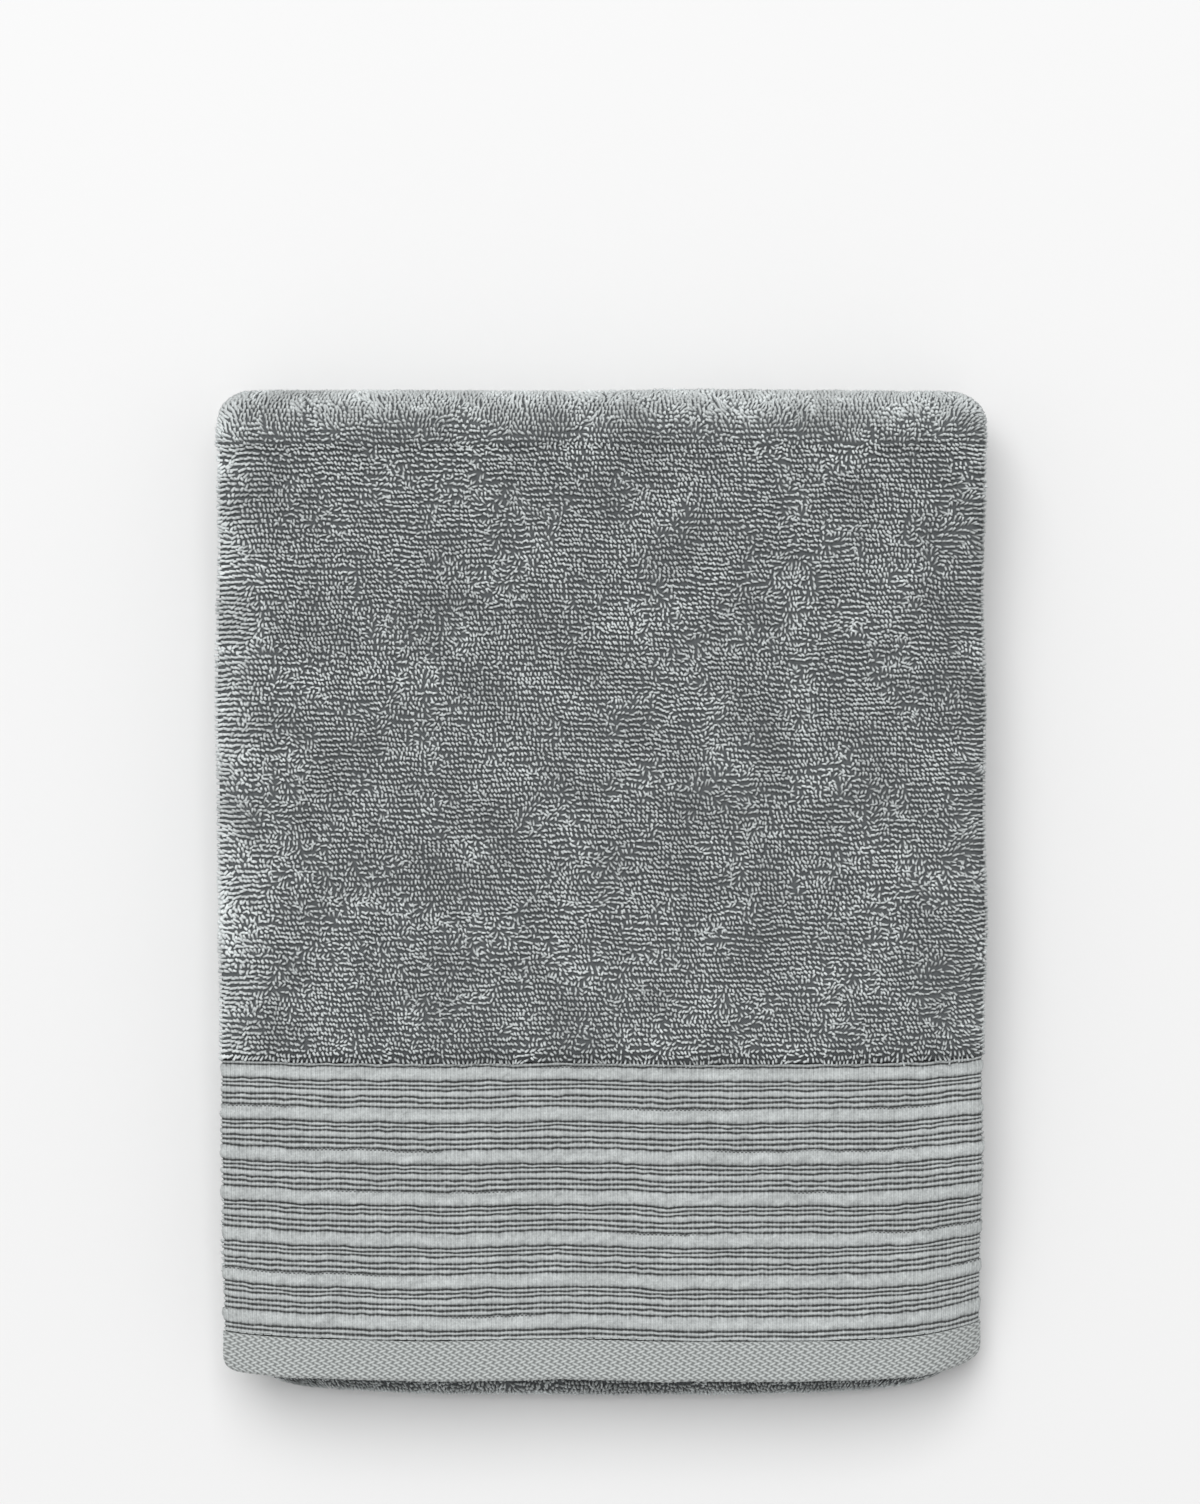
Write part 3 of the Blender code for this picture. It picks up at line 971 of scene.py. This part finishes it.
def make_quarters(looks):
    """The ground cloth of each quarter and its two side hems."""
    for part in LEVELS:
        span = quarter_span(part)
        s = across_samples(PLY, FLAT_STEP, FOLD_STEP, trim=SIDE_HEM_WIDTH)
        name = f"{part}_quarter_ground_cloth"
        cloth = ground_cloth(name, part, s, steps(*span, FLAT_STEP), HALF[part], looks["ground"])
        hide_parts(f"{part}_quarter_terry")
        limits = side_limits(PLY)
        for side, edge in (("left", limits[0]), ("right", limits[5])):
            hem = side_hem(f"{part}_{side}_side_hem_cloth", part, edge, span, HALF[part], looks["side_hem"])
            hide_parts(f"{part}_quarter_{side}_side_hem")


def make_bends(looks):
    """The ground cloth of the crosswise folds."""
    for part in BEND_FACE:
        s = across_samples(PLY, FLAT_STEP, FOLD_STEP)
        along = steps(0, bend_length(part), 2.5 * MM)
        cloth = ground_cloth(f"{part}_fold_ground_cloth", part, s, along, None, looks["ground"])
        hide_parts(*(f"{part}_fold_{third}_third" for third in ("centre", "left", "right")))
        carry_bend(cloth, part)


def carry_bend(obj, part):
    """The front fold rides on the lower half; the back folds keep their place, with their transform baked
    into the mesh.
    """
    if part == "front":
        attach(obj, "lower_half")
        return
    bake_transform(obj)


# Bands of pile on each part, how much coarser than the top quarter's, and each loop's sides and segments
PILE = {
    "top": (5, 1.0, 4, 4),
    "second": (3, 1.2, 3, 4),
    "third": (4, 1.2, 3, 4),
    "bottom": (2, 1.6, 3, 3),
    "outer_back": (2, 1.0, 3, 4),
    "front": (1, 1.0, 3, 4),
}
INNER_OVERLAP = 1.3 * MM  # the pile inside the back fold runs past it, and meets when the towel is opened
AT_REST = ("top", "outer_back", "front")  # parts whose pile shows while the towel is closed


def pile_span(part):
    """The range of a over which a part's pile runs, and the ends that its loops lean over."""
    if part == "outer_back":
        return (BACK, BACK + bend_length(part)), (None, BACK)
    if part == "front":
        return (FRONT - bend_length(part), FRONT), (None, None)
    front = TERRY_FRONT if HALF[part] == "upper_half" else None
    start, end = quarter_span(part)
    if part in ("second", "third"):
        end = end + INNER_OVERLAP
    return (start, end), (front, BACK if part == "top" else None)


def make_pile(looks):
    """The pile of every part, in bands. The bottom quarter's side folds, which show beside the others,
    get a fine pile over its coarse one."""
    limits = side_limits(PLY)
    s_span = (limits[1] - 3 * MM, limits[4] + 3 * MM)
    for part, (bands, coarse, sides, segments) in PILE.items():
        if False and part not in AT_REST:
            continue
        (start, end), ends = pile_span(part)
        pitch = PITCH_ALONG * coarse
        rows = math.ceil((end - start) / pitch / bands)
        for i in range(bands):
            a_span = (start + i * rows * pitch, min(end, start + (i + 1) * rows * pitch))
            name = f"{part}_pile_{i + 1}"
            seed = 100 * (1 + list(PILE).index(part)) + i
            body = HALF.get(part)
            obj = pile(name, part, s_span, a_span, body, looks["pile"], seed, ends, coarse, sides, segments)
            if part in BEND_FACE:
                carry_bend(obj, part)
    folds = {"left": (s_span[0], limits[2] + 3 * MM), "right": (limits[3] - 3 * MM, s_span[1])}
    for side, span in folds.items():
        for part in ("bottom", "third", "second"):
            if part != "bottom":
                continue
            a_span, ends = pile_span(part)
            obj = pile(f"{part}_pile_{side}_fold", part, span, a_span, HALF[part], looks["pile"], 700, ends)


def make_ends(looks):
    """Both ends of the towel: border, flaps, end hem and stitches."""
    for part in ("top", "second"):
        pitch = 1.05 * MM if part == "top" else 2.1 * MM
        for band, ribs in (("back", (0, BORDER_SPLIT)), ("front", (BORDER_SPLIT, len(RIBS)))):
            name = f"{part}_border_{band}_face"
            face = border_face(name, part, ribs, pitch, "upper_half", looks["border"])
            if band == "back":
                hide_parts(f"{part}_quarter_ribbed_border")
        a, b, _c, _d, e, f = side_limits(BORDER_PLY, BORDER_INSET)
        for side, (start, end) in (("left", (a, b - FACE_LAP)), ("right", (e + FACE_LAP, f))):
            s = steps(start, end, 6 * MM)
            flap = border_flap(f"{part}_border_{side}_third", part, s, "upper_half", looks["border"])
        pitch = 0.28 * MM if part == "top" else 0.5 * MM
        hem = end_hem(f"{part}_end_hem_cloth", part, "upper_half", looks["hem"], pitch)
        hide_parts(f"{part}_quarter_end_hem")
        thread = stitches(f"{part}_end_hem_stitches", part, "upper_half", looks["thread"])
        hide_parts(f"{part}_quarter_end_hem_thread")


def make_stage():
    """A plain pale floor, a broad soft light from the upper left and a pale sky."""
    size = 9.0
    points = [(-size, -size, 0), (size, -size, 0), (size, size, 0), (-size, size, 0)]
    look = Look("pale_floor", 0.9)
    look.shader.inputs["Base Color"].default_value = (0.86, 0.86, 0.86, 1)
    look.shader.inputs["Specular IOR Level"].default_value = 0.0
    floor = new_object("floor", points, [(0, 1, 2, 3)], None, look.material, smooth=False)

    light = bpy.data.lights.new("soft_box", "AREA")
    light.shape = "RECTANGLE"
    light.size, light.size_y = 4.4, 4.4
    light.energy = 250
    lamp = bpy.data.objects.new("soft_box", light)
    lamp.location = (-0.75, 2.6, 5.0)
    lamp.rotation_euler = (-Vector(lamp.location)).to_track_quat("-Z", "Y").to_euler()
    bpy.context.scene.collection.objects.link(lamp)
    world = bpy.data.worlds.new("pale_sky")
    world.use_nodes = True
    world.node_tree.nodes["Background"].inputs[0].default_value = (1, 1, 1, 1)
    world.node_tree.nodes["Background"].inputs[1].default_value = 0.50
    bpy.context.scene.world = world
    bpy.context.scene.view_settings.view_transform = "Standard"


def make_camera():
    """Straight above the towel, far enough away to see it nearly without perspective."""
    data = bpy.data.cameras.new("camera")
    data.lens = 100
    data.sensor_width = 36
    camera = bpy.data.objects.new("camera", data)
    top = CAD_BOX[1][2]
    camera.location = (-0.8 * MM, 47.4 * MM, top + 1.369)
    bpy.context.scene.collection.objects.link(camera)
    bpy.context.scene.camera = camera


def build():
    make_camera()
    make_stage()
    looks = {
        "pile": pile_look(),
        "ground": ground_look(),
        "border": border_look(),
        "hem": hem_look(),
        "side_hem": plain_weave_look(),
        "thread": thread_look(),
    }
    make_quarters(looks)
    make_bends(looks)
    make_pile(looks)
    make_ends(looks)


build()
